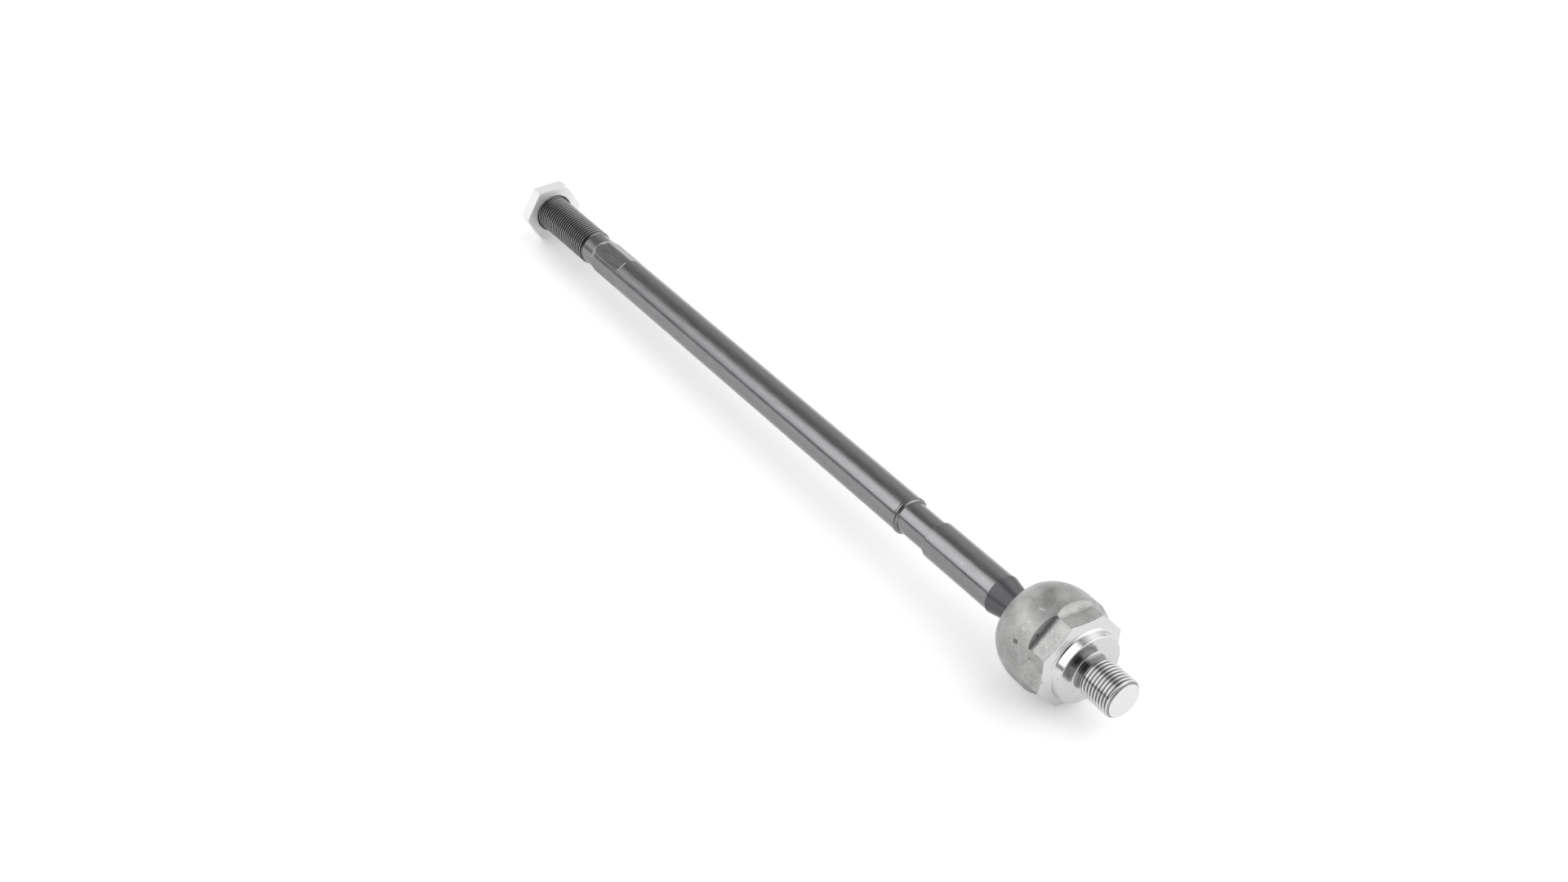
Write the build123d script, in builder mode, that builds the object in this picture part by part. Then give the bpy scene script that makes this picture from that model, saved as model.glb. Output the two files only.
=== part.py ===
from build123d import *
import os
from math import asin, cos, degrees, radians, sin, sqrt, tan

os.makedirs("parts", exist_ok=True)

# Inner tie rod, in millimetres and degrees, lying as it rests on a level surface.
# X runs along the housing and out of its stud, Z is up.
# The origin is on the stud's axis, where the stud's thread reaches its full diameter.
# A "reach" is a distance from the middle of the ball along the housing or along the rod.

# Ball and its bearing shell
ball_dia = 28.0
ball_clearance = 0.06
shell_wall = 1.8
shell_clearance = 0.05
shell_reach = 8.4
floor_slope = 45.0
grease_pocket_dia = 7.0

# Housing: walls around the bearing shell, and the mouth that is rolled in over the ball
bulb_wall = 4.09
floor_thickness = 3.99
throat_closure = 2.0
mouth_flare = 1.6
lip_width = 1.77
lip_round = 0.45

# Housing: wrench flats with scooped ends, and the turned front
flat_count = 8
flat_depth = 2.15
flat_length = 5.2
flat_turn = -4.0
scoop_radius = 4.0
rim_slope = 18.8
collar_dia = 28.2
collar_length = 5.6
collar_draft = 7.5
collar_fillet = 1.2
collar_edge = 0.25

# Stud
stud_length = 18.1
stud_dia = 15.8
stud_neck_depth = 1.05
stud_neck_length = 3.0
stud_neck_fillet = 1.5
stud_chamfer = 1.1

# Tie rod: neck and shaft
shaft_dia = 15.6
neck_root_dia = 10.0
neck_fillet = 1.6
band_reach = 27.9
band_height = 0.25

# Tie rod: groove that takes the small end of the boot
groove_reach = 65.2
groove_length = 17.4
groove_depth = 1.075
groove_fillet = 0.9
groove_edge = 0.25
bead_height = 0.15
bead_length = 1.6

# Tie rod: key flats, relief and rod-end thread
key_count = 6
key_turn = 30.0
key_depth = 0.55
key_length = 17.4
key_end_radius = 3.0
relief_depth = 0.7
relief_ramp = 2.6
relief_length = 7.3
rod_reach = 359.5
rod_thread_length = 46.2
rod_thread_dia = 15.8
rod_chamfer = 1.1

# Jam nut
nut_sides = 6
nut_flats = 24.0
nut_thickness = 6.0
nut_inset = 3.0
nut_bore_clearance = 0.05
nut_countersink = 0.9
nut_face_margin = 1.2
nut_chamfer_slope = 30.0

# Radii and places that follow from the sizes above
ball_r = ball_dia / 2
shell_inner_r = ball_r + ball_clearance
shell_outer_r = shell_inner_r + shell_wall
cavity_r = shell_outer_r + shell_clearance
bulb_r = cavity_r + bulb_wall
collar_reach = cavity_r + floor_thickness
thread_reach = collar_reach + stud_neck_length + stud_neck_depth
stud_reach = collar_reach + stud_length

# The rod rests on a flat of its nut and the housing on its bulb, so the rod droops a little
nut_reach = rod_reach - nut_inset - nut_thickness
nut_middle_reach = nut_reach + nut_thickness / 2
droop = degrees(asin((bulb_r - nut_flats / 2) / nut_middle_reach))

# Planes through the middle of the ball that hold the housing's axis and the rod's axis
ball_middle = Vector(-thread_reach, 0, 0)
housing_axis = Axis(ball_middle, (1, 0, 0))
rod_axis = Axis(ball_middle, (cos(radians(droop)), 0, sin(radians(droop))))
housing_side = Plane(ball_middle, x_dir=housing_axis.direction, z_dir=(0, -1, 0))
rod_side = Plane(ball_middle, x_dir=rod_axis.direction, z_dir=(0, -1, 0))


def corner(outline, x, y):
    """The corner of an outline that lies nearest to a point."""
    return outline.vertices().sort_by_distance((x, y))[0]


def floor_corners(radius):
    """Where the wall and where the floor of a cup, drawn around a sphere, meet the slope between them."""
    slope = radians(floor_slope)
    wall_corner = (radius * (1 - sin(slope)) / cos(slope), radius)
    floor_corner = (radius, radius * (1 - cos(slope)) / sin(slope))
    return wall_corner, floor_corner


def turned_side(side, axis, turn):
    """A side plane turned about the axis that it holds."""
    return Plane(side.origin, x_dir=side.x_dir, z_dir=side.z_dir.rotate(axis, turn))


# Socket housing: bulb, collar, stud and cavity as one turned outline, cut by the wrench flats
throat_r = ball_r - throat_closure
throat_reach = sqrt(cavity_r**2 - throat_r**2)
mouth_r = throat_r + mouth_flare
lip_r = mouth_r + lip_width
lip_reach = sqrt(bulb_r**2 - lip_r**2)
cavity_wall_corner, cavity_floor_corner = floor_corners(cavity_r)
stud_r = stud_dia / 2
stud_neck_r = stud_r - stud_neck_depth
flat_y = bulb_r - flat_depth
scoop_y = flat_y + scoop_radius
rim_reach = collar_reach - collar_length
flat_reach = rim_reach - flat_length
scoop_reach = flat_reach - scoop_radius

# The foot of the collar is where its leaning wall meets the sloping rim
collar_r = collar_dia / 2
collar_lean = tan(radians(collar_draft))
rim_lean = tan(radians(rim_slope))
foot_height = (collar_length - (bulb_r - collar_r) * rim_lean) / (1 - rim_lean * collar_lean)
foot_reach = collar_reach - foot_height
foot_r = collar_r + foot_height * collar_lean

with BuildPart() as socket_housing:
    with BuildSketch(housing_side) as turned:
        with BuildLine():
            Polyline(
                (0, bulb_r),
                (rim_reach, bulb_r),
                (foot_reach, foot_r),
                (collar_reach, collar_r),
                (collar_reach, stud_neck_r),
                (thread_reach - stud_neck_depth, stud_neck_r),
                (thread_reach, stud_r),
                (stud_reach - stud_chamfer, stud_r),
                (stud_reach, stud_r - stud_chamfer),
                (stud_reach, 0),
                (cavity_r, 0),
                cavity_floor_corner,
                cavity_wall_corner,
                (0, cavity_r),
            )
            RadiusArc((-throat_reach, throat_r), (0, cavity_r), cavity_r)
            Polyline(
                (-throat_reach, throat_r),
                (-lip_reach, mouth_r),
                (-lip_reach, lip_r),
            )
            RadiusArc((-lip_reach, lip_r), (0, bulb_r), bulb_r)
        make_face()
        fillet(corner(turned, foot_reach, foot_r), collar_fillet)
        fillet(corner(turned, collar_reach, stud_neck_r), stud_neck_fillet)
        fillet(corner(turned, -lip_reach, lip_r), lip_round)
        fillet(corner(turned, -lip_reach, mouth_r), lip_round)
        chamfer(corner(turned, collar_reach, collar_r), collar_edge)
    revolve(axis=housing_axis)
    for index in range(flat_count):
        turn = flat_turn + index * 360 / flat_count
        with BuildSketch(turned_side(housing_side, housing_axis, turn)):
            with BuildLine():
                Polyline(
                    (flat_reach, flat_y),
                    (collar_reach, flat_y),
                    (collar_reach, scoop_y),
                    (scoop_reach, scoop_y),
                )
                RadiusArc((scoop_reach, scoop_y), (flat_reach, flat_y), -scoop_radius)
            make_face()
        extrude(amount=bulb_r, both=True, mode=Mode.SUBTRACT)

socket_housing.part.label = "socket_housing"
export_step(socket_housing.part, "parts/socket_housing.step")

# Ball seat: a moulded cup that wraps past the middle of the ball and has a grease hole in its floor
grease_r = grease_pocket_dia / 2
grease_reach = sqrt(shell_inner_r**2 - grease_r**2)
shell_mouth_inner_r = sqrt(shell_inner_r**2 - shell_reach**2)
shell_mouth_outer_r = sqrt(shell_outer_r**2 - shell_reach**2)
shell_wall_corner, shell_floor_corner = floor_corners(shell_outer_r)

with BuildPart() as ball_seat:
    with BuildSketch(housing_side):
        with BuildLine():
            RadiusArc((-shell_reach, shell_mouth_inner_r), (0, shell_inner_r), shell_inner_r)
            RadiusArc((0, shell_inner_r), (grease_reach, grease_r), shell_inner_r)
            Polyline(
                (grease_reach, grease_r),
                (shell_outer_r, grease_r),
                shell_floor_corner,
                shell_wall_corner,
                (0, shell_outer_r),
            )
            RadiusArc((-shell_reach, shell_mouth_outer_r), (0, shell_outer_r), shell_outer_r)
            Line((-shell_reach, shell_mouth_outer_r), (-shell_reach, shell_mouth_inner_r))
        make_face()
    revolve(axis=housing_axis)

ball_seat.part.label = "ball_seat"
export_step(ball_seat.part, "parts/ball_seat.step")

# Tie rod: ball, neck, shaft, groove, relief and thread as one turned outline, cut by the key flats
shaft_r = shaft_dia / 2
root_r = neck_root_dia / 2
root_reach = sqrt(ball_r**2 - root_r**2)
band_r = shaft_r + band_height
groove_r = shaft_r - groove_depth
groove_end = groove_reach + groove_length
bead_r = shaft_r + bead_height
rod_thread_r = rod_thread_dia / 2
relief_r = rod_thread_r - relief_depth
relief_end = rod_reach - rod_thread_length
ramp_end = relief_end - relief_length
relief_start = ramp_end - relief_ramp
key_reach = relief_start - key_length
key_y = shaft_r - key_depth
end_y = key_y + key_end_radius

with BuildPart() as tie_rod:
    with BuildSketch(rod_side) as turned:
        with BuildLine():
            Polyline(
                (ball_r, 0),
                (-rod_reach, 0),
                (-rod_reach, rod_thread_r - rod_chamfer),
                (-rod_reach + rod_chamfer, rod_thread_r),
                (-relief_end - relief_depth, rod_thread_r),
                (-relief_end, relief_r),
                (-ramp_end, relief_r),
                (-relief_start, shaft_r),
                (-groove_end - bead_length, shaft_r),
                (-groove_end - bead_length / 2, bead_r),
                (-groove_end, bead_r),
                (-groove_end, groove_r),
                (-groove_reach, groove_r),
                (-groove_reach, shaft_r),
                (-band_reach, shaft_r),
                (-band_reach, band_r),
                (-root_reach, root_r),
            )
            ThreePointArc((-root_reach, root_r), (0, ball_r), (ball_r, 0))
        make_face()
        fillet(corner(turned, -root_reach, root_r), neck_fillet)
        fillet(corner(turned, -groove_end, groove_r), groove_fillet)
        chamfer(corner(turned, -groove_reach, shaft_r), groove_edge)
    revolve(axis=rod_axis)
    for index in range(key_count):
        turn = key_turn + index * 360 / key_count
        with BuildSketch(turned_side(rod_side, rod_axis, turn)):
            with BuildLine():
                Polyline(
                    (-key_reach, key_y),
                    (-ramp_end, key_y),
                    (-ramp_end, end_y),
                    (-key_reach + key_end_radius, end_y),
                )
                RadiusArc((-key_reach + key_end_radius, end_y), (-key_reach, key_y), key_end_radius)
            make_face()
        extrude(amount=shaft_r, both=True, mode=Mode.SUBTRACT)

tie_rod.part.label = "tie_rod"
export_step(tie_rod.part, "parts/tie_rod.step")

# Jam nut: hexagon with a flat below, its corners turned back at both ends
nut_far = ball_middle - rod_axis.direction * (nut_reach + nut_thickness)
nut_bore_r = rod_thread_r + nut_bore_clearance
nut_face_r = nut_flats / 2 + nut_face_margin
nut_blank_r = nut_face_r + nut_thickness / 2 / tan(radians(nut_chamfer_slope))

with BuildPart() as jam_nut:
    with BuildSketch(Plane(nut_far, x_dir=(0, 1, 0), z_dir=rod_axis.direction)):
        RegularPolygon(nut_flats / 2, nut_sides, major_radius=False)
    extrude(amount=nut_thickness)
    with BuildSketch(rod_side):
        with BuildLine():
            Polyline(
                (-nut_reach, 0),
                (-nut_reach, nut_face_r),
                (-nut_middle_reach, nut_blank_r),
                (-nut_reach - nut_thickness, nut_face_r),
                (-nut_reach - nut_thickness, 0),
                (-nut_reach, 0),
            )
        make_face()
    revolve(axis=rod_axis, mode=Mode.INTERSECT)
    with BuildSketch(rod_side):
        with BuildLine():
            Polyline(
                (-nut_reach, 0),
                (-nut_reach, nut_bore_r + nut_countersink),
                (-nut_reach - nut_countersink, nut_bore_r),
                (-nut_reach - nut_thickness + nut_countersink, nut_bore_r),
                (-nut_reach - nut_thickness, nut_bore_r + nut_countersink),
                (-nut_reach - nut_thickness, 0),
                (-nut_reach, 0),
            )
        make_face()
    revolve(axis=rod_axis, mode=Mode.SUBTRACT)

jam_nut.part.label = "jam_nut"
export_step(jam_nut.part, "parts/jam_nut.step")
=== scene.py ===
from math import asin, cos, degrees, pi, radians, sin, sqrt, tan, tau

import bmesh
import bpy
from mathutils import Euler, Matrix, Vector


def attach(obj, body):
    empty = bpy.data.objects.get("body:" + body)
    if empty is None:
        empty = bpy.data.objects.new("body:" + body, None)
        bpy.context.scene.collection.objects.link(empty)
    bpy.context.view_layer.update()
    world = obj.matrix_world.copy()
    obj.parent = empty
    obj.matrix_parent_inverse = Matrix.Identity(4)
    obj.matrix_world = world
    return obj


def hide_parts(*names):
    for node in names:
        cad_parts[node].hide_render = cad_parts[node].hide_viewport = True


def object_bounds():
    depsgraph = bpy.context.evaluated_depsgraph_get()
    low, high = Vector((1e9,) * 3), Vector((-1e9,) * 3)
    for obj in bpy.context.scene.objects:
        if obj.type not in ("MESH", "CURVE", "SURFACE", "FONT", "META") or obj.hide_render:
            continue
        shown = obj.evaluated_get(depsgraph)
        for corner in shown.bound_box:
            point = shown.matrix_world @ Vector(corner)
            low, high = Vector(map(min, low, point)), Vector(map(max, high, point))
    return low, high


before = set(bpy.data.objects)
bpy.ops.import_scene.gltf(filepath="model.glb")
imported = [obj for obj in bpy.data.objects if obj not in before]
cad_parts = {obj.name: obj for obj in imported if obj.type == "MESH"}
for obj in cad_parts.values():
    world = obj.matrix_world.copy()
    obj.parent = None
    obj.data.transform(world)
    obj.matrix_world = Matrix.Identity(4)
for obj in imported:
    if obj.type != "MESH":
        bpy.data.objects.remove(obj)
cad_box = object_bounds()

# Sizes in millimetres, as the solids have them, but for the threads' own, which the solids leave out.
# A reach is a distance from the middle of the ball. Turns are in degrees.
MM = 0.001
PITCH = 1.5
FLANK = radians(30)
THREAD_R, PITCH_R, ROOT_R = 7.9, 7.51, 7.1
BALL_R = 14.0
CAVITY_R, CAVITY_CORNER = 15.91, 6.59
BULB_R = 20.0
LIP_REACH = 12.798
THROAT_R = 12.0
MOUTH_R = 13.6
FLAT_COUNT = 8
FLAT_Y = 17.85
FLAT_REACH = 9.1
FLAT_TURN = -4.0
SCOOP_R = 4.0
RIM_REACH = 14.3
FOOT_REACH, FOOT_R, FOOT_FILLET = 16.14, 14.595, 0.55
COLLAR_REACH, COLLAR_R, COLLAR_ROUND = 19.9, 14.1, 0.25
NECK_R, NECK_FILLET = 6.85, 1.5
THREAD_REACH = 23.95
STUD_END = 38.0
END_CHAMFER = 1.1
STUD_GROOVE_TURNS = 11
NECK_ROOT_REACH, NECK_ROOT_R, NECK_ROOT_FILLET = 13.077, 5.0, 1.35
BAND_REACH, BAND_R = 27.9, 8.05
SHAFT_R = 7.8
GROOVE_START, GROOVE_END, GROOVE_R = 65.2, 82.6, 6.725
GROOVE_ROUND, GROOVE_FILLET = 0.25, 0.9
BEAD_R, BEAD_LENGTH = 7.95, 1.6
KEY_COUNT = 6
KEY_Y = 7.25
KEY_START = 286.0
KEY_END_R = 3.0
KEY_TURN = 30
RELIEF_START, RAMP_END, RELIEF_END, RELIEF_R = 303.4, 306.0, 313.3, 7.2
ROD_END = 359.5
ROD_GROOVE_TURNS = 31.8
NUT_START, NUT_END = 350.5, 356.5
NUT_MIDDLE = (NUT_START + NUT_END) / 2
NUT_FLAT_Y = 12.0
NUT_FACE_R = 13.2
NUT_CHAMFER = radians(30)
NUT_BORE_R = 7.95
NUT_COUNTERSINK = 0.9
DROOP = asin((BULB_R - NUT_FLAT_Y) / NUT_MIDDLE)

# How finely round forms are cut up, in parts of a whole turn or of one arc
SOCKET_SIDES, ROD_SIDES, NUT_SIDES = 128, 96, 96
STUD_GROOVE_SIDES, ROD_GROOVE_SIDES = 64, 48
BALL_PARTS, BULB_PARTS, THROAT_PARTS, RUN_OUT_PARTS, FILLET_PARTS = 40, 16, 8, 12, 8

# Cutters reach past the steel by the clearance and are wider than the flats that they cut
CLEARANCE = 1
FLAT_CUTTER_HALF, KEY_CUTTER_HALF = 22, 8

# Vertices closer than this are one, before and after a piece is carved and placed
OUTLINE_MERGE = 0.0005
PLACED_MERGE = 0.001 * MM
RING_SLACK = 0.01
SMOOTH_ANGLE = radians(12)

# Patterns, in patches per millimetre. Stones and a lathe leave finer marks on real steel, and the grit and
# rings are drawn as coarse as they need to show, as are the painted glints.
CLOUDS = 0.16
GRIT = 3.0
PAINTED_GLINTS = 2.4
MARK_EDGES = 2.5
LATHE_RINGS = 1.3
LATHE_SPOTS = 0.9
ROD_STREAKS = 0.9
ZINC_SPOTS = 0.5
ACETAL_SPOTS = 0.5

# Light levels, of which 1 is white. The key softbox and the dark patch each have an aim, and the angles from
# it at which they start and are full.
ROOM_LEVEL = 0.36
BACK_LEVEL = 0.45
RIGHT_LEVEL = 0.5
DARK_LEVEL = 0.3
SWEEP_LEVEL = 1.3
LEFT_LEVEL = 1.95
KEY_LEVEL = 1.05
KEY_AIM = (0.40, 0.63, 0.62)
KEY_EDGE, KEY_FULL = 58, 30
DARK_AIM = (0.502, -0.540, 0.674)
DARK_EDGE, DARK_FULL = 34, 18
PAPER_LIFT = 0.3

# Nicks, and small bright spots painted as glints, in the scene's millimetres: a middle and a radius.
# A mark fades out at so many times its radius.
MARK_SPREAD = 1.6
DARK_MARKS = (
    ((-23.6, -18.4, 7.8), 0.95), ((-22.9, -18.3, 8.0), 0.95), ((-17.6, -14.0, 12.9), 0.6),
    ((-16.4, -17.8, 5.1), 0.35), ((-15.9, -17.7, 5.0), 0.35), ((-15.4, -17.6, 4.9), 0.3),
    ((-5.0, -14.0, 2.5), 0.3), ((-8.8, -17.5, -0.6), 0.4), ((-3.2, -6.7, 1.8), 0.4),
    ((-4.0, -9.7, -1.3), 0.2), ((-4.0, -6.6, -6.4), 0.25),
)
# Small bright spots painted as glints on the bulb
PAINTED_GLINT_MARKS = (
    ((-23.8, -8.4, 18.1), 0.25), ((-23.4, -8.35, 18.15), 0.25), ((-23.0, -8.3, 18.2), 0.3),
    ((-22.6, -8.25, 18.2), 0.3), ((-22.2, -8.1, 18.3), 0.25), ((-21.8, -7.9, 18.4), 0.25),
    ((-23.3, -15.6, 12.5), 0.25), ((-22.9, -13.2, 15.0), 0.3),
)
SHAFT_MARKS = (
    ((-240.6, 4.7, 1.3), 0.3), ((-122.6, -6.2, 2.6), 0.3), ((-68.8, -5.5, 4.5), 0.3),
    ((-57.3, -4.7, 5.4), 0.3),
)

ball_middle = Matrix.Translation((-THREAD_REACH * MM, 0, 0))
housing_place = ball_middle @ Matrix.Scale(MM, 4)
rod_place = ball_middle @ Matrix.Rotation(-DROOP, 4, "Y") @ Matrix.Scale(MM, 4)


def draw(bm, pen, steps):
    """Draws an outline in the XZ plane from a vertex.

    A step is a point, or an arc: its centre, its turn and its parts.
    """
    for step in steps:
        if len(step) == 2:
            tip = bm.verts.new((step[0], 0, step[1]))
            bm.edges.new((pen, tip))
        else:
            x, z, turn, parts = step
            arc = bmesh.ops.spin(
                bm, geom=[pen], cent=(x, 0, z), axis=(0, 1, 0), angle=radians(turn), steps=parts
            )
            tip = next(item for item in arc["geom_last"] if isinstance(item, bmesh.types.BMVert))
        pen = tip
    return pen


def turned(start, steps, sides):
    """A body turned round X from its outline, which ends on the axis or where it starts."""
    bm = bmesh.new()
    draw(bm, bm.verts.new((start[0], 0, start[1])), steps)
    outline = bm.verts[:] + bm.edges[:]
    bmesh.ops.spin(
        bm, geom=outline, cent=(0, 0, 0), axis=(1, 0, 0), angle=tau, steps=sides, use_merge=True
    )
    bmesh.ops.remove_doubles(bm, verts=bm.verts, dist=OUTLINE_MERGE)
    bmesh.ops.recalc_face_normals(bm, faces=bm.faces)
    return bm


def ring(bm, x, radius):
    """The edges of a turned body's corner at a place along the axis and a radius."""
    on_ring = {
        vert
        for vert in bm.verts
        if abs(vert.co.x - x) < RING_SLACK and abs(vert.co.yz.length - radius) < RING_SLACK
    }
    return [edge for edge in bm.edges if on_ring.issuperset(edge.verts)]


def round_ring(bm, x, radius, width):
    """Rounds or fills a turned body's corner."""
    bmesh.ops.bevel(
        bm,
        geom=ring(bm, x, radius),
        offset=width,
        offset_type="OFFSET",
        affect="EDGES",
        segments=FILLET_PARTS,
        profile=0.5,
        material=-1,
    )


def flat_cutter(start, end, height, run_out, half_width, turn):
    """A block that cuts a flat: level from its end to its start, then a round run-out up and away."""
    bm = bmesh.new()
    first = bm.verts.new((end, 0, height))
    top = height + run_out
    side = 1 if start > end else -1
    scoop = (start, top, -side * 90, RUN_OUT_PARTS)
    last = draw(bm, first, [(start, height), scoop, (end, top)])
    bm.edges.new((last, first))
    profile = bmesh.ops.contextual_create(bm, geom=bm.edges[:])["faces"]
    bmesh.ops.translate(bm, verts=bm.verts, vec=(0, -half_width, 0))
    block = bmesh.ops.extrude_face_region(bm, geom=profile)["geom"]
    moved = [item for item in block if isinstance(item, bmesh.types.BMVert)]
    bmesh.ops.translate(bm, verts=moved, vec=(0, 2 * half_width, 0))
    bmesh.ops.rotate(
        bm, cent=(0, 0, 0), matrix=Matrix.Rotation(radians(turn), 3, "X"), verts=bm.verts
    )
    bmesh.ops.recalc_face_normals(bm, faces=bm.faces)
    return bm


def thread_cutter(start, turns, sides, outline):
    """A right-hand helix that cuts a thread's groove.

    The outline gives half widths and radii, from the bottom up.
    """
    bm = bmesh.new()
    points = [(start + half, radius) for half, radius in outline]
    points += [(start - half, radius) for half, radius in reversed(outline[1:])]
    first = bm.verts.new((start - outline[0][0], 0, outline[0][1]))
    last = draw(bm, first, points)
    bm.edges.new((last, first))
    steps = int(turns * sides)
    bmesh.ops.spin(
        bm,
        geom=bm.verts[:] + bm.edges[:],
        cent=(0, 0, 0),
        axis=(1, 0, 0),
        dvec=(PITCH / sides, 0, 0),
        angle=tau * steps / sides,
        steps=steps,
    )
    bmesh.ops.holes_fill(bm, edges=[edge for edge in bm.edges if edge.is_boundary])
    bmesh.ops.recalc_face_normals(bm, faces=bm.faces)
    return bm


def as_object(bm, name):
    """A mesh object made of a bmesh, which is used up."""
    mesh = bpy.data.meshes.new(name)
    bm.to_mesh(mesh)
    bm.free()
    item = bpy.data.objects.new(name, mesh)
    bpy.context.scene.collection.objects.link(item)
    return item


def carve(body, operation, *tools):
    """Cuts, or keeps what is common to, a bmesh and others. All of them are used up."""
    item = as_object(body, "carved")
    cutters = []
    for tool in tools:
        cutter = as_object(tool, "cutter")
        cutters.append(cutter)
        boolean = item.modifiers.new("carve", "BOOLEAN")
        boolean.object = cutter
        boolean.operation = operation
        boolean.solver = "EXACT"
    evaluated = item.evaluated_get(bpy.context.evaluated_depsgraph_get())
    bm = bmesh.new()
    bm.from_mesh(evaluated.to_mesh())
    evaluated.to_mesh_clear()
    for used in [item] + cutters:
        mesh = used.data
        bpy.data.objects.remove(used)
        bpy.data.meshes.remove(mesh)
    return bm


def piece(bm, name, place, body, node, materials):
    """A finished piece: placed, shaded smooth up to an angle, dressed, and standing for its solid."""
    bmesh.ops.transform(bm, matrix=place, verts=bm.verts)
    bmesh.ops.remove_doubles(bm, verts=bm.verts, dist=PLACED_MERGE)
    bmesh.ops.dissolve_degenerate(bm, edges=bm.edges, dist=PLACED_MERGE)
    for face in bm.faces:
        face.smooth = True
    for edge in bm.edges:
        edge.smooth = len(edge.link_faces) == 2 and edge.calc_face_angle() < SMOOTH_ANGLE
    item = as_object(bm, name)
    even = item.modifiers.new("even_normals", "WEIGHTED_NORMAL")
    even.weight = 100
    even.keep_sharp = True
    for material in materials:
        item.data.materials.append(material)
    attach(item, body)
    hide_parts(node)


def linear(code):
    """An sRGB hex colour as linear values with full alpha."""
    parts = [int(code[i : i + 2], 16) / 255 for i in (1, 3, 5)]
    return [c / 12.92 if c <= 0.04045 else ((c + 0.055) / 1.055) ** 2.4 for c in parts] + [1.0]


# The sockets of a Mix node of colours, and the settings of that node and of a smooth Map Range
FACTOR, FIRST, SECOND, MIXED = 0, 6, 7, 2
COLOURS = {"data_type": "RGBA"}
SMOOTHLY = {"interpolation_type": "SMOOTHSTEP"}


def add_node(tree, kind, output, inputs=None, **settings):
    """Adds a node with its settings, and gives one of its outputs.

    Each input is set to its value, or linked to it where it is another node's output.
    """
    node = tree.nodes.new("ShaderNode" + kind)
    for name, value in settings.items():
        setattr(node, name, value)
    for name, value in (inputs or {}).items():
        if isinstance(value, bpy.types.NodeSocket):
            tree.links.new(value, node.inputs[name])
        else:
            node.inputs[name].default_value = value
    return node.outputs[output]


def new_material(name):
    """A material, its node tree, its shader and its object coordinates."""
    material = bpy.data.materials.new(name)
    material.use_nodes = True
    tree = material.node_tree
    return material, tree, tree.nodes["Principled BSDF"], add_node(tree, "TexCoord", "Object")


def distance_from_axis(tree, place):
    """How far a place is from the X axis."""
    across = add_node(tree, "VectorMath", "Vector", {0: place, 1: (0, 1, 1)}, operation="MULTIPLY")
    return add_node(tree, "VectorMath", "Value", {0: across}, operation="LENGTH")


def rod_coordinates(tree, place):
    """Coordinates along the rod from the ball's middle, and the distance from the rod's axis."""
    along = add_node(
        tree, "Mapping", "Vector",
        {"Vector": place, "Location": ball_middle.translation, "Rotation": (0, -DROOP, 0)},
        vector_type="TEXTURE",
    )
    return along, distance_from_axis(tree, along)


def nicks_and_painted_glints(tree, place, marks):
    """How much a surface is inside any of its nicks and painted glints, each a middle and a radius in
    millimetres.
    """
    ragged = add_node(
        tree, "TexNoise", "Fac", {"Vector": place, "Scale": MARK_EDGES / MM, "Detail": 2}
    )
    whole = 0.0
    for middle, radius in marks:
        gap = add_node(
            tree, "VectorMath", "Value", {0: place, 1: [c * MM for c in middle]}, operation="DISTANCE"
        )
        rough_gap = add_node(
            tree, "Math", "Value", {0: ragged, 1: radius * MM, 2: gap}, operation="MULTIPLY_ADD"
        )
        fade = {"From Min": radius * MM, "From Max": MARK_SPREAD * radius * MM, "To Min": 1, "To Max": 0}
        inside = add_node(tree, "MapRange", "Result", {"Value": rough_gap, **fade}, **SMOOTHLY)
        whole = add_node(tree, "Math", "Value", {0: inside, 1: whole}, operation="MAXIMUM")
    return whole
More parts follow.
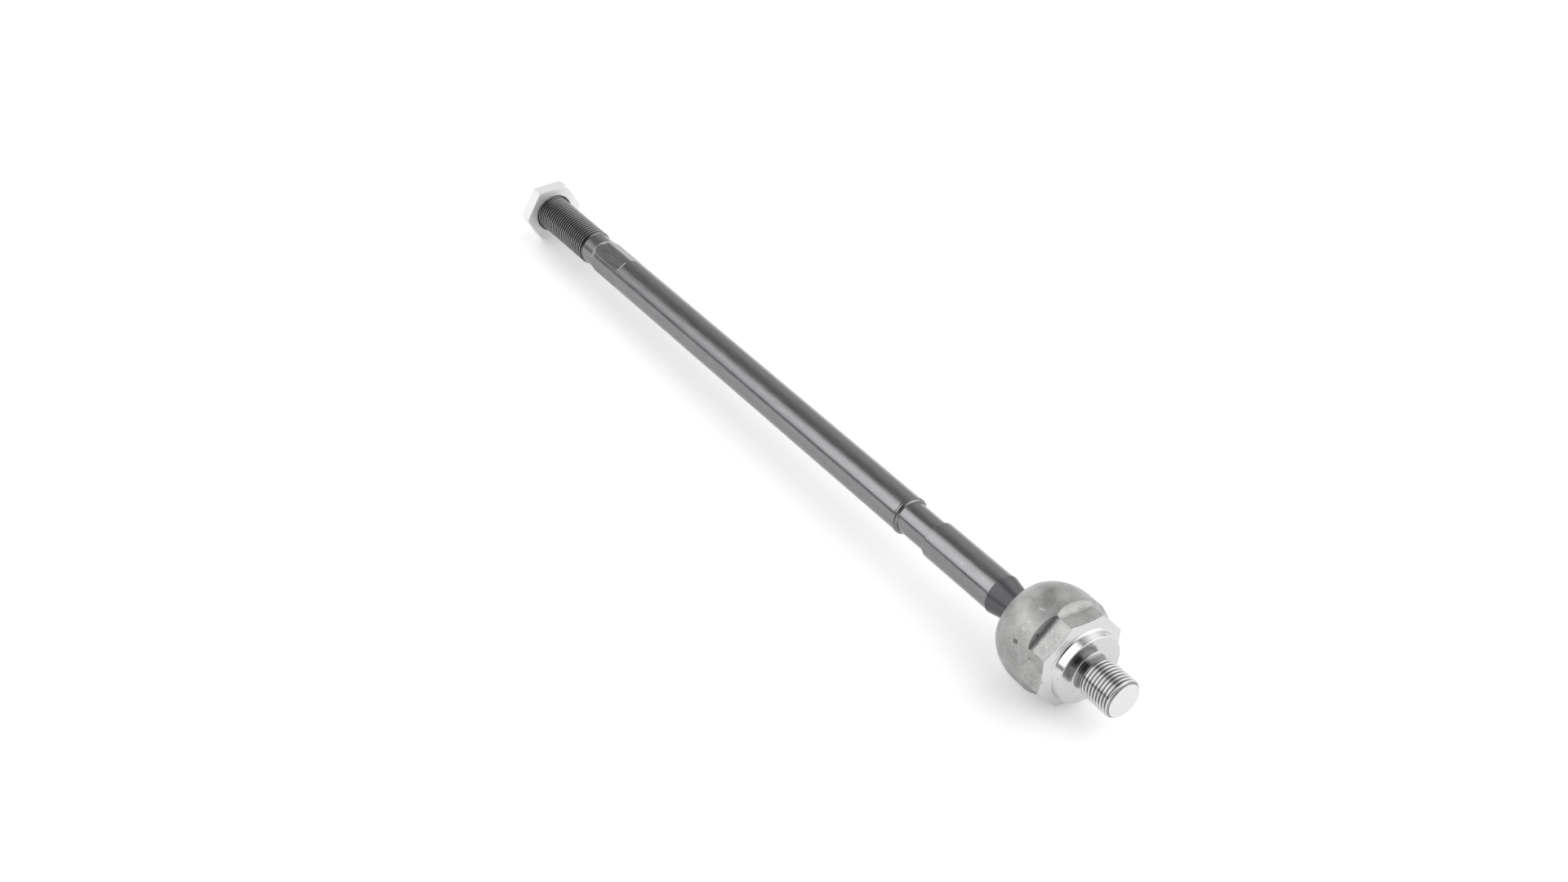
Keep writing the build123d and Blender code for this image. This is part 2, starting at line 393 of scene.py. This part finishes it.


# Forging steel, tumbled with stones: bright matt grey over soft darker clouds, with a fine sparkle painted
# into the colour on the flats, and a few bright spots painted as glints on the bulb
def tumbled_steel():
    material, tree, shader, place = new_material("tumbled_forged_steel")
    clouds = add_node(
        tree, "TexNoise", "Fac",
        {"Vector": place, "Scale": CLOUDS / MM, "Detail": 5, "Roughness": 0.65},
    )
    grain = add_node(
        tree, "TexNoise", "Fac",
        {"Vector": place, "Scale": GRIT / MM, "Detail": 3, "Roughness": 0.75},
    )
    mottle = add_node(tree, "Mix", "Result", {"Factor": 0.5, "A": clouds, "B": grain})
    mottled = add_node(
        tree, "MapRange", "Result", {"Value": mottle, "From Min": 0.36, "From Max": 0.64}, **SMOOTHLY
    )
    even = add_node(
        tree, "Mix", MIXED,
        {FACTOR: mottled, FIRST: linear("#8C8C8B"), SECOND: linear("#B2B2B1")},
        **COLOURS,
    )
    # Painted glints: pale specks mixed into the colour, on the flats only
    painted_glint_noise = add_node(tree, "TexNoise", "Fac", {"Vector": place, "Scale": PAINTED_GLINTS / MM, "Detail": 2})
    painted_glint = add_node(
        tree, "MapRange", "Result", {"Value": painted_glint_noise, "From Min": 0.5, "From Max": 0.68}, **SMOOTHLY
    )
    along = add_node(tree, "SeparateXYZ", "X", {0: place})
    flats_start = FLAT_REACH - THREAD_REACH
    painted_glint_on_flats = add_node(
        tree, "MapRange", "Result",
        {
            "Value": along,
            "From Min": (flats_start - 4) * MM,
            "From Max": (flats_start + 1) * MM,
            "To Max": 0.35,
        },
        **SMOOTHLY,
    )
    painted_glint_amount = add_node(tree, "Math", "Value", {0: painted_glint, 1: painted_glint_on_flats}, operation="MULTIPLY")
    with_painted_glints = add_node(
        tree, "Mix", MIXED, {FACTOR: painted_glint_amount, FIRST: even, SECOND: linear("#E2E2E2")}, **COLOURS
    )
    # Spots painted as glints on the bulb
    bright = add_node(
        tree, "Mix", MIXED,
        {FACTOR: nicks_and_painted_glints(tree, place, PAINTED_GLINT_MARKS), FIRST: with_painted_glints, SECOND: linear("#CECECE")},
        **COLOURS,
    )
    colour = add_node(
        tree, "Mix", MIXED,
        {FACTOR: nicks_and_painted_glints(tree, place, DARK_MARKS), FIRST: bright, SECOND: linear("#6E6C69")},
        **COLOURS,
    )
    rough = add_node(
        tree, "MapRange", "Result",
        {"Value": grain, "From Min": 0.3, "From Max": 0.7, "To Min": 0.28, "To Max": 0.42},
        **SMOOTHLY,
    )
    worn = add_node(tree, "Bevel", "Normal", {"Radius": 0.35 * MM}, samples=4)
    bump = add_node(
        tree, "Bump", "Normal",
        {"Height": grain, "Strength": 0.4, "Distance": 0.2 * MM, "Normal": worn},
    )
    tree.links.new(colour, shader.inputs["Base Color"])
    tree.links.new(rough, shader.inputs["Roughness"])
    tree.links.new(bump, shader.inputs["Normal"])
    shader.inputs["Metallic"].default_value = 1
    return material


# Bare steel off the lathe: bright, with fine rings, and painted shade in the bottom of the thread and on the
# neck
def turned_steel():
    material, tree, shader, place = new_material("turned_bright_steel")
    from_axis = distance_from_axis(tree, place)
    along = add_node(tree, "SeparateXYZ", "X", {0: place})
    round_axis = add_node(tree, "CombineXYZ", "Vector", {"X": along, "Y": from_axis})
    rings = add_node(
        tree, "TexNoise", "Fac",
        {"Vector": round_axis, "Scale": LATHE_RINGS / MM, "Detail": 3, "Roughness": 0.6},
    )
    spots = add_node(
        tree, "TexNoise", "Fac", {"Vector": place, "Scale": LATHE_SPOTS / MM, "Detail": 3}
    )
    # Painted shade: darker nearer the axis than the thread's crests, in its valleys and on the neck
    above_painted_shade = add_node(
        tree, "MapRange", "Result",
        {"Value": from_axis, "From Min": (ROOT_R + 0.1) * MM, "From Max": (THREAD_R - 0.15) * MM},
        **SMOOTHLY,
    )
    with_painted_valley_shade = add_node(
        tree, "Mix", MIXED,
        {FACTOR: above_painted_shade, FIRST: linear("#868686"), SECOND: linear("#CBCBCB")},
        **COLOURS,
    )
    end = STUD_END - THREAD_REACH
    at_end = add_node(
        tree, "MapRange", "Result",
        {"Value": along, "From Min": (end - 0.1) * MM, "From Max": (end - 0.05) * MM},
        **SMOOTHLY,
    )
    faced = add_node(
        tree, "Mix", MIXED, {FACTOR: at_end, FIRST: with_painted_valley_shade, SECOND: linear("#E0E0E0")}, **COLOURS
    )
    colour = add_node(
        tree, "Mix", MIXED,
        {FACTOR: nicks_and_painted_glints(tree, place, DARK_MARKS), FIRST: faced, SECOND: linear("#6A6865")},
        **COLOURS,
    )
    polish = add_node(
        tree, "MapRange", "Result",
        {"Value": spots, "From Min": 0.3, "From Max": 0.7, "To Min": 0.12, "To Max": 0.22},
        **SMOOTHLY,
    )
    rough = add_node(tree, "Math", "Value", {0: at_end, 1: 0.35, 2: polish}, operation="MULTIPLY_ADD")
    worn = add_node(tree, "Bevel", "Normal", {"Radius": 0.2 * MM}, samples=4)
    bump = add_node(
        tree, "Bump", "Normal",
        {"Height": rings, "Strength": 1.0, "Distance": 0.04 * MM, "Normal": worn},
    )
    tree.links.new(colour, shader.inputs["Base Color"])
    tree.links.new(rough, shader.inputs["Roughness"])
    tree.links.new(bump, shader.inputs["Normal"])
    shader.inputs["Metallic"].default_value = 1
    return material


# Steel blackened and oiled, then rubbed bright by handling: duller on the neck, and matt in the thread's
# valleys, which painted shade makes near black
def blackened_steel():
    material, tree, shader, place = new_material("oiled_black_steel")
    on_rod, from_axis = rod_coordinates(tree, place)
    along = add_node(tree, "SeparateXYZ", "X", {0: on_rod})
    drawn = add_node(tree, "VectorMath", "Vector", {0: on_rod, 1: (0.15, 1, 1)}, operation="MULTIPLY")
    streaks = add_node(
        tree, "TexNoise", "Fac", {"Vector": drawn, "Scale": ROD_STREAKS / MM, "Detail": 4}
    )
    streaked = add_node(
        tree, "MapRange", "Result", {"Value": streaks, "From Min": 0.3, "From Max": 0.7}, **SMOOTHLY
    )
    shaft = add_node(
        tree, "Mix", MIXED,
        {FACTOR: streaked, FIRST: linear("#7E7E80"), SECOND: linear("#868687")},
        **COLOURS,
    )
    on_neck = add_node(
        tree, "MapRange", "Result",
        {"Value": along, "From Min": -(BAND_REACH + 0.3) * MM, "From Max": -BAND_REACH * MM},
        **SMOOTHLY,
    )
    necked = add_node(
        tree, "Mix", MIXED, {FACTOR: on_neck, FIRST: shaft, SECOND: linear("#5C5C5E")}, **COLOURS
    )
    on_thread = add_node(
        tree, "MapRange", "Result",
        {
            "Value": along,
            "From Min": -(RELIEF_END + 0.6) * MM,
            "From Max": -RELIEF_END * MM,
            "To Min": 1,
            "To Max": 0,
        },
        **SMOOTHLY,
    )
    in_valley = add_node(
        tree, "MapRange", "Result",
        {
            "Value": from_axis,
            "From Min": (ROOT_R + 0.5) * MM,
            "From Max": (THREAD_R - 0.02) * MM,
            "To Min": 1,
            "To Max": 0,
        },
        **SMOOTHLY,
    )
    threaded = add_node(
        tree, "Mix", MIXED, {FACTOR: on_thread, FIRST: necked, SECOND: linear("#929293")}, **COLOURS
    )
    before_end = add_node(
        tree, "MapRange", "Result",
        {"Value": along, "From Min": -(ROD_END - 0.02) * MM, "From Max": -(ROD_END - 0.1) * MM},
        **SMOOTHLY,
    )
    in_groove = add_node(tree, "Math", "Value", {0: before_end, 1: in_valley}, operation="MULTIPLY")
    dark = add_node(tree, "Math", "Value", {0: on_thread, 1: in_groove}, operation="MULTIPLY")
    # Painted shade darkens the thread's valleys, all but on the rod's end face
    with_painted_rod_valley_shade = add_node(
        tree, "Mix", MIXED, {FACTOR: dark, FIRST: threaded, SECOND: linear("#343435")}, **COLOURS
    )
    colour = add_node(
        tree, "Mix", MIXED,
        {FACTOR: nicks_and_painted_glints(tree, place, SHAFT_MARKS), FIRST: with_painted_rod_valley_shade, SECOND: linear("#A8A8A8")},
        **COLOURS,
    )
    polish = add_node(
        tree, "MapRange", "Result",
        {"Value": streaks, "From Min": 0.3, "From Max": 0.7, "To Min": 0.17, "To Max": 0.22},
        **SMOOTHLY,
    )
    matt = add_node(tree, "Math", "Value", {0: on_neck, 1: dark}, operation="MAXIMUM")
    rough = add_node(tree, "Math", "Value", {0: matt, 1: 0.1, 2: polish}, operation="MULTIPLY_ADD")
    worn = add_node(tree, "Bevel", "Normal", {"Radius": 0.1 * MM}, samples=4)
    tree.links.new(colour, shader.inputs["Base Color"])
    tree.links.new(rough, shader.inputs["Roughness"])
    tree.links.new(worn, shader.inputs["Normal"])
    shader.inputs["Metallic"].default_value = 1
    return material


# Zinc plate, passivated clear: nearly white and softly matt
def zinc_plate():
    material, tree, shader, place = new_material("clear_zinc_plate")
    spots = add_node(
        tree, "TexNoise", "Fac", {"Vector": place, "Scale": ZINC_SPOTS / MM, "Detail": 4}
    )
    rough = add_node(
        tree, "MapRange", "Result",
        {"Value": spots, "From Min": 0.3, "From Max": 0.7, "To Min": 0.52, "To Max": 0.64},
        **SMOOTHLY,
    )
    worn = add_node(tree, "Bevel", "Normal", {"Radius": 0.2 * MM}, samples=4)
    tree.links.new(rough, shader.inputs["Roughness"])
    tree.links.new(worn, shader.inputs["Normal"])
    shader.inputs["Base Color"].default_value = linear("#ECECED")
    shader.inputs["Metallic"].default_value = 1
    return material


# Moulded acetal: off-white, with a greasy sheen
def acetal():
    material, tree, shader, place = new_material("moulded_acetal")
    spots = add_node(
        tree, "TexNoise", "Fac", {"Vector": place, "Scale": ACETAL_SPOTS / MM, "Detail": 3}
    )
    rough = add_node(
        tree, "MapRange", "Result",
        {"Value": spots, "From Min": 0.3, "From Max": 0.7, "To Min": 0.3, "To Max": 0.42},
        **SMOOTHLY,
    )
    tree.links.new(rough, shader.inputs["Roughness"])
    shader.inputs["Base Color"].default_value = linear("#E6E3D8")
    shader.inputs["IOR"].default_value = 1.48
    return material


# Socket housing
socket = turned(
    (0, BULB_R),
    [
        (RIM_REACH, BULB_R),
        (FOOT_REACH, FOOT_R),
        (COLLAR_REACH, COLLAR_R),
        (COLLAR_REACH, NECK_R),
        (THREAD_REACH - THREAD_R + NECK_R, NECK_R),
        (THREAD_REACH, THREAD_R),
        (STUD_END - END_CHAMFER, THREAD_R),
        (STUD_END, THREAD_R - END_CHAMFER),
        (STUD_END, 0),
        (CAVITY_R, 0),
        (CAVITY_R, CAVITY_CORNER),
        (CAVITY_CORNER, CAVITY_R),
        (0, CAVITY_R),
        (0, 0, -degrees(pi / 2 - asin(THROAT_R / CAVITY_R)), THROAT_PARTS),
        (-LIP_REACH, MOUTH_R),
        (-LIP_REACH, sqrt(BULB_R**2 - LIP_REACH**2)),
        (0, 0, degrees(asin(LIP_REACH / BULB_R)), BULB_PARTS),
    ],
    SOCKET_SIDES,
)
round_ring(socket, FOOT_REACH, FOOT_R, FOOT_FILLET)
round_ring(socket, COLLAR_REACH, COLLAR_R, COLLAR_ROUND)
round_ring(socket, COLLAR_REACH, NECK_R, NECK_FILLET)
flats = [
    flat_cutter(
        FLAT_REACH,
        COLLAR_REACH + 2 * CLEARANCE,
        FLAT_Y,
        SCOOP_R,
        FLAT_CUTTER_HALF,
        FLAT_TURN + index * 360 / FLAT_COUNT,
    )
    for index in range(FLAT_COUNT)
]
groove_outline = [
    (PITCH / 4 - (PITCH_R - ROOT_R) * tan(FLANK), ROOT_R),
    (PITCH / 4 + (THREAD_R - PITCH_R) * tan(FLANK), THREAD_R),
    (PITCH / 4 + (THREAD_R - PITCH_R) * tan(FLANK), THREAD_R + CLEARANCE),
]
stud_groove = thread_cutter(
    THREAD_REACH - PITCH, STUD_GROOVE_TURNS, STUD_GROOVE_SIDES, groove_outline
)
socket = carve(socket, "DIFFERENCE", *flats, stud_groove)

# The front inside the rim, the collar and the stud are off the lathe. The rest is as forged.
FACING_FRONT = 0.25
COLLAR_SLACK = 0.1
for face in socket.faces:
    middle = face.calc_center_median()
    front = middle.x > RIM_REACH and face.normal.x > FACING_FRONT
    collar = middle.x > FOOT_REACH and middle.yz.length < FOOT_R + COLLAR_SLACK
    face.material_index = int(front or collar)
piece(
    socket, "socket_housing_forging", housing_place, "housing", "socket_housing",
    [tumbled_steel(), turned_steel()],
)

# Tie rod
rod = turned(
    (BALL_R, 0),
    [
        (0, 0, -degrees(pi - asin(NECK_ROOT_R / BALL_R)), BALL_PARTS),
        (-BAND_REACH, BAND_R),
        (-BAND_REACH, SHAFT_R),
        (-GROOVE_START, SHAFT_R),
        (-GROOVE_START, GROOVE_R),
        (-GROOVE_END, GROOVE_R),
        (-GROOVE_END, BEAD_R),
        (-GROOVE_END - BEAD_LENGTH / 2, BEAD_R),
        (-GROOVE_END - BEAD_LENGTH, SHAFT_R),
        (-RELIEF_START, SHAFT_R),
        (-RAMP_END, RELIEF_R),
        (-RELIEF_END, RELIEF_R),
        (-RELIEF_END - THREAD_R + RELIEF_R, THREAD_R),
        (-ROD_END + END_CHAMFER, THREAD_R),
        (-ROD_END, THREAD_R - END_CHAMFER),
        (-ROD_END, 0),
    ],
    ROD_SIDES,
)
round_ring(rod, -NECK_ROOT_REACH, NECK_ROOT_R, NECK_ROOT_FILLET)
round_ring(rod, -GROOVE_END, GROOVE_R, GROOVE_FILLET)
round_ring(rod, -GROOVE_START, SHAFT_R, GROOVE_ROUND)
keys = [
    flat_cutter(
        -KEY_START,
        -RAMP_END,
        KEY_Y,
        KEY_END_R,
        KEY_CUTTER_HALF,
        KEY_TURN + index * 360 / KEY_COUNT,
    )
    for index in range(KEY_COUNT)
]
rod_groove = thread_cutter(-ROD_END - PITCH, ROD_GROOVE_TURNS, ROD_GROOVE_SIDES, groove_outline)
rod = carve(rod, "DIFFERENCE", *keys, rod_groove)
piece(rod, "tie_rod_forging", rod_place, "rod", "tie_rod", [blackened_steel()])

# Jam nut
blank = bmesh.new()
bmesh.ops.create_circle(
    blank,
    cap_ends=True,
    segments=6,
    radius=NUT_FLAT_Y / cos(pi / 6),
    matrix=Matrix.Translation((-NUT_END, 0, 0)) @ Matrix.Rotation(pi / 2, 4, "Y"),
)
grown = bmesh.ops.extrude_face_region(blank, geom=blank.faces[:])["geom"]
bmesh.ops.translate(
    blank,
    verts=[item for item in grown if isinstance(item, bmesh.types.BMVert)],
    vec=(NUT_END - NUT_START, 0, 0),
)
bmesh.ops.recalc_face_normals(blank, faces=blank.faces)
apex = NUT_FACE_R + (NUT_END - NUT_START) / 2 / tan(NUT_CHAMFER)
cones = turned(
    (-NUT_START, 0),
    [(-NUT_START, NUT_FACE_R), (-NUT_MIDDLE, apex), (-NUT_END, NUT_FACE_R), (-NUT_END, 0)],
    NUT_SIDES,
)
bore = turned(
    (-NUT_START + CLEARANCE, 0),
    [
        (-NUT_START + CLEARANCE, NUT_BORE_R + NUT_COUNTERSINK + CLEARANCE),
        (-NUT_START - NUT_COUNTERSINK, NUT_BORE_R),
        (-NUT_END + NUT_COUNTERSINK, NUT_BORE_R),
        (-NUT_END - CLEARANCE, NUT_BORE_R + NUT_COUNTERSINK + CLEARANCE),
        (-NUT_END - CLEARANCE, 0),
    ],
    NUT_SIDES,
)
nut = carve(carve(blank, "INTERSECT", cones), "DIFFERENCE", bore)
piece(nut, "jam_nut_blank", rod_place, "nut", "jam_nut", [zinc_plate()])

# Ball seat: the solid itself, in its plastic
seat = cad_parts["ball_seat"]
seat.data.materials.clear()
seat.data.materials.append(acetal())

# White paper on the floor. The camera and the metal see it a little lighter than it is lit, so that it
# is white where no shadow lies.
floor_bm = bmesh.new()
bmesh.ops.create_grid(floor_bm, x_segments=1, y_segments=1, size=3)
bmesh.ops.translate(floor_bm, verts=floor_bm.verts, vec=(0, 0, cad_box[0][2]))
floor = as_object(floor_bm, "floor")
paper = bpy.data.materials.new("white_paper")
paper.use_nodes = True
sheet = paper.node_tree
camera_ray = add_node(sheet, "LightPath", "Is Camera Ray")
glossy_ray = add_node(sheet, "LightPath", "Is Glossy Ray")
through_ray = add_node(sheet, "LightPath", "Is Transmission Ray")
seen = add_node(sheet, "Math", "Value", {0: camera_ray, 1: glossy_ray}, operation="MAXIMUM")
seen = add_node(sheet, "Math", "Value", {0: seen, 1: through_ray}, operation="MAXIMUM")
lift = add_node(sheet, "Math", "Value", {0: seen, 1: PAPER_LIFT}, operation="MULTIPLY")
sheen = sheet.nodes["Principled BSDF"]
sheen.inputs["Base Color"].default_value = linear("#F2F2F2")
sheen.inputs["Roughness"].default_value = 0.9
sheen.inputs["Emission Color"].default_value = linear("#FFFFFF")
sheet.links.new(lift, sheen.inputs["Emission Strength"])
floor.data.materials.append(paper)

# The studio, as the world around the part: a softbox on the left and the key softbox on the right, paler
# walls at the back and low on the right, the paper's sweep beyond the rod, and the dark side where the
# camera stands
world = bpy.data.worlds.new("studio")
bpy.context.scene.world = world
world.use_nodes = True
sky = world.node_tree
way = add_node(sky, "TexCoord", "Generated")


def across(angle):
    """The aim square to the part's length, so many degrees up from the back."""
    return 0, cos(radians(angle)), sin(radians(angle))


def softbox(*edges):
    """A patch of light. Each of its edges is an aim, and how near to it light starts and is full.

    Nearness is the cosine of the angle between the way looked and the aim.
    """
    whole = 1.0
    for aim, dark, full in edges:
        near = add_node(
            sky, "VectorMath", "Value", {0: way, 1: Vector(aim).normalized()}, operation="DOT_PRODUCT"
        )
        inside = add_node(
            sky, "MapRange", "Result", {"Value": near, "From Min": dark, "From Max": full}, **SMOOTHLY
        )
        whole = add_node(sky, "Math", "Value", {0: inside, 1: whole}, operation="MULTIPLY")
    return whole


lit = ROOM_LEVEL
for level, edges in (
    (LEFT_LEVEL, [(across(140), 0.56, 0.80), ((-1, 0, 0), 0.1, 0.3), (across(80), 0.0, 0.05)]),
    (KEY_LEVEL, [(KEY_AIM, cos(radians(KEY_EDGE)), cos(radians(KEY_FULL)))]),
    (BACK_LEVEL, [((0, 1, 0), 0.0, 0.75)]),
    (RIGHT_LEVEL, [((1, 0, 0), 0.5, 0.9), ((0, 0, -1), -0.3, -0.05)]),
    (SWEEP_LEVEL, [((-1, 0, 0.1), 0.84, 0.97)]),
    (-DARK_LEVEL, [(DARK_AIM, cos(radians(DARK_EDGE)), cos(radians(DARK_FULL)))]),
):
    lit = add_node(sky, "Math", "Value", {0: softbox(*edges), 1: level, 2: lit}, operation="MULTIPLY_ADD")
sky_ray = add_node(sky, "LightPath", "Is Camera Ray")
strength = add_node(sky, "Mix", "Result", {"Factor": sky_ray, "A": lit, "B": 1.0})
background = sky.nodes["Background"]
background.inputs["Color"].default_value = linear("#FFFFFF")
sky.links.new(strength, background.inputs["Strength"])

# The camera, where a fit to the photograph's outlines puts it
lens = bpy.data.cameras.new("camera")
lens.lens = 50
lens.sensor_width = 36
lens.clip_start = 0.01
lens.clip_end = 50
camera = bpy.data.objects.new("camera", lens)
camera.location = (0.379377, -0.415504, 0.517918)
camera.rotation_euler = Euler((radians(52.6192), radians(-1.8999), radians(55.2822)))
bpy.context.scene.collection.objects.link(camera)
bpy.context.scene.camera = camera
bpy.context.scene.view_settings.view_transform = "Standard"
